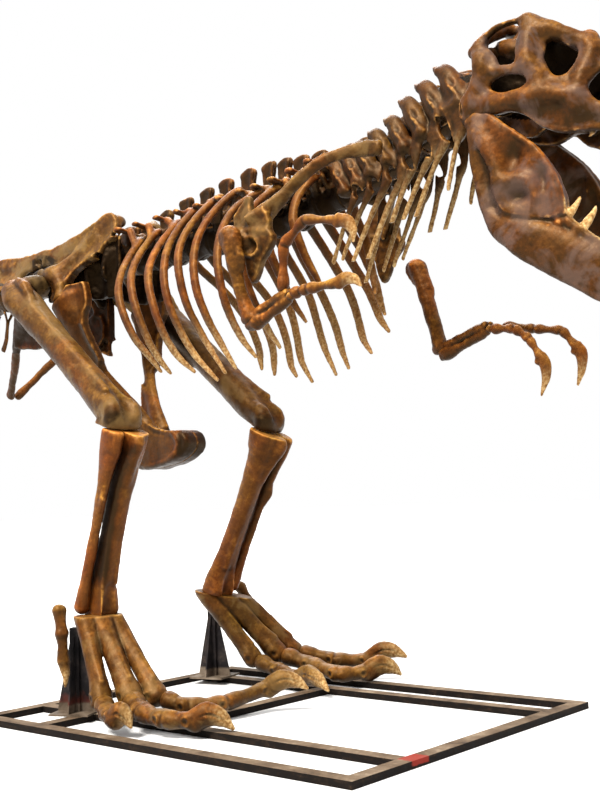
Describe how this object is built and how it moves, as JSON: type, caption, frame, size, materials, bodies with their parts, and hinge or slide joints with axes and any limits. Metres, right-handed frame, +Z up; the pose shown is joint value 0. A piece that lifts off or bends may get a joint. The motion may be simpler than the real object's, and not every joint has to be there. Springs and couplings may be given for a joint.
{
  "type": "mounted dinosaur skeleton",
  "caption": "Mounted skeleton of a large two-legged meat-eating dinosaur, striding with open jaws, on a welded steel floor frame with posts behind the feet.",
  "frame": {"origin": "centre of the overall bounding box on the floor plane, z = 0 at the underside of the floor frame", "axes": "+X towards the head along the floor frame, +Y towards the animal's left side, +Z up"},
  "size_m": [10.8906, 2.5792, 3.9],
  "materials": {
    "femur_left": "satin, varnished bronze-brown bone finish with golden edges",
    "femur_right": "satin, varnished bronze-brown bone finish with golden edges",
    "fibula_left": "satin, varnished bronze-brown bone finish with golden edges",
    "fibula_right": "satin, varnished bronze-brown bone finish with golden edges",
    "finger_inner_left": "satin, varnished bronze-brown bone finish with golden edges",
    "finger_inner_right": "satin, varnished bronze-brown bone finish with golden edges",
    "finger_outer_left": "satin, varnished bronze-brown bone finish with golden edges",
    "finger_outer_right": "satin, varnished bronze-brown bone finish with golden edges",
    "forearm_left": "satin, varnished bronze-brown bone finish with golden edges",
    "forearm_right": "satin, varnished bronze-brown bone finish with golden edges",
    "hallux_left": "satin, varnished bronze-brown bone finish with golden edges",
    "hallux_right": "satin, varnished bronze-brown bone finish with golden edges",
    "humerus_left": "satin, varnished bronze-brown bone finish with golden edges",
    "humerus_right": "satin, varnished bronze-brown bone finish with golden edges",
    "ilium_left": "satin, varnished bronze-brown bone finish with golden edges",
    "ilium_right": "satin, varnished bronze-brown bone finish with golden edges",
    "ischium_left": "satin, varnished bronze-brown bone finish with golden edges",
    "ischium_right": "satin, varnished bronze-brown bone finish with golden edges",
    "jaw_left": "satin, varnished bronze-brown bone finish with golden edges",
    "jaw_right": "satin, varnished bronze-brown bone finish with golden edges",
    "metatarsus_left": "satin, varnished bronze-brown bone finish with golden edges",
    "metatarsus_right": "satin, varnished bronze-brown bone finish with golden edges",
    "neck_1": "satin, varnished bronze-brown bone finish with golden edges",
    "neck_2": "satin, varnished bronze-brown bone finish with golden edges",
    "neck_3": "satin, varnished bronze-brown bone finish with golden edges",
    "post_left": "charcoal grey paint",
    "post_right": "charcoal grey paint",
    "pubis_left": "satin, varnished bronze-brown bone finish with golden edges",
    "pubis_right": "satin, varnished bronze-brown bone finish with golden edges",
    "rail_cross_post": "dusty beige tops, scuffed black-brown sides",
    "rail_cross_toe": "dusty beige tops, scuffed black-brown sides",
    "rail_front": "dusty beige tops, scuffed black-brown sides",
    "rail_inner_left": "dusty beige tops, scuffed black-brown sides",
    "rail_inner_right": "dusty beige tops, scuffed black-brown sides",
    "rail_outer_left": "dusty beige tops, scuffed black-brown sides",
    "rail_outer_right": "dusty beige tops, scuffed black-brown sides",
    "rail_rear": "dusty beige tops, scuffed black-brown sides",
    "ribcage_left": "satin, varnished bronze-brown bone finish with golden edges",
    "ribcage_right": "satin, varnished bronze-brown bone finish with golden edges",
    "sacrum": "satin, varnished bronze-brown bone finish with golden edges",
    "scapula_left": "satin, varnished bronze-brown bone finish with golden edges",
    "scapula_right": "satin, varnished bronze-brown bone finish with golden edges",
    "skull": "satin, varnished bronze-brown bone finish with golden edges",
    "tail_1": "satin, varnished bronze-brown bone finish with golden edges",
    "tail_2": "satin, varnished bronze-brown bone finish with golden edges",
    "tail_3": "satin, varnished bronze-brown bone finish with golden edges",
    "tail_4": "satin, varnished bronze-brown bone finish with golden edges",
    "tail_5": "satin, varnished bronze-brown bone finish with golden edges",
    "tibia_left": "satin, varnished bronze-brown bone finish with golden edges",
    "tibia_right": "satin, varnished bronze-brown bone finish with golden edges",
    "toe_left_2": "satin, varnished bronze-brown bone finish with golden edges",
    "toe_left_3": "satin, varnished bronze-brown bone finish with golden edges",
    "toe_left_4": "satin, varnished bronze-brown bone finish with golden edges",
    "toe_right_2": "satin, varnished bronze-brown bone finish with golden edges",
    "toe_right_3": "satin, varnished bronze-brown bone finish with golden edges",
    "toe_right_4": "satin, varnished bronze-brown bone finish with golden edges"
  },
  "bodies": {
    "root": {"femur_left": "femur_left", "femur_right": "femur_right", "fibula_left": "fibula_left", "fibula_right": "fibula_right", "finger_inner_left": "finger_inner_left", "finger_inner_right": "finger_inner_right", "finger_outer_left": "finger_outer_left", "finger_outer_right": "finger_outer_right", "forearm_left": "forearm_left", "forearm_right": "forearm_right", "hallux_left": "hallux_left", "hallux_right": "hallux_right", "humerus_left": "humerus_left", "humerus_right": "humerus_right", "ilium_left": "ilium_left", "ilium_right": "ilium_right", "ischium_left": "ischium_left", "ischium_right": "ischium_right", "jaw_left": "jaw_left", "jaw_right": "jaw_right", "metatarsus_left": "metatarsus_left", "metatarsus_right": "metatarsus_right", "neck_1": "neck_1", "neck_2": "neck_2", "neck_3": "neck_3", "post_left": "post_left", "post_right": "post_right", "pubis_left": "pubis_left", "pubis_right": "pubis_right", "rail_cross_post": "rail_cross_post", "rail_cross_toe": "rail_cross_toe", "rail_front": "rail_front", "rail_inner_left": "rail_inner_left", "rail_inner_right": "rail_inner_right", "rail_outer_left": "rail_outer_left", "rail_outer_right": "rail_outer_right", "rail_rear": "rail_rear", "ribcage_left": "ribcage_left", "ribcage_right": "ribcage_right", "sacrum": "sacrum", "scapula_left": "scapula_left", "scapula_right": "scapula_right", "skull": "skull", "tail_1": "tail_1", "tail_2": "tail_2", "tail_3": "tail_3", "tail_4": "tail_4", "tail_5": "tail_5", "tibia_left": "tibia_left", "tibia_right": "tibia_right", "toe_left_2": "toe_left_2", "toe_left_3": "toe_left_3", "toe_left_4": "toe_left_4", "toe_right_2": "toe_right_2", "toe_right_3": "toe_right_3", "toe_right_4": "toe_right_4"}
  },
  "joints": []
}
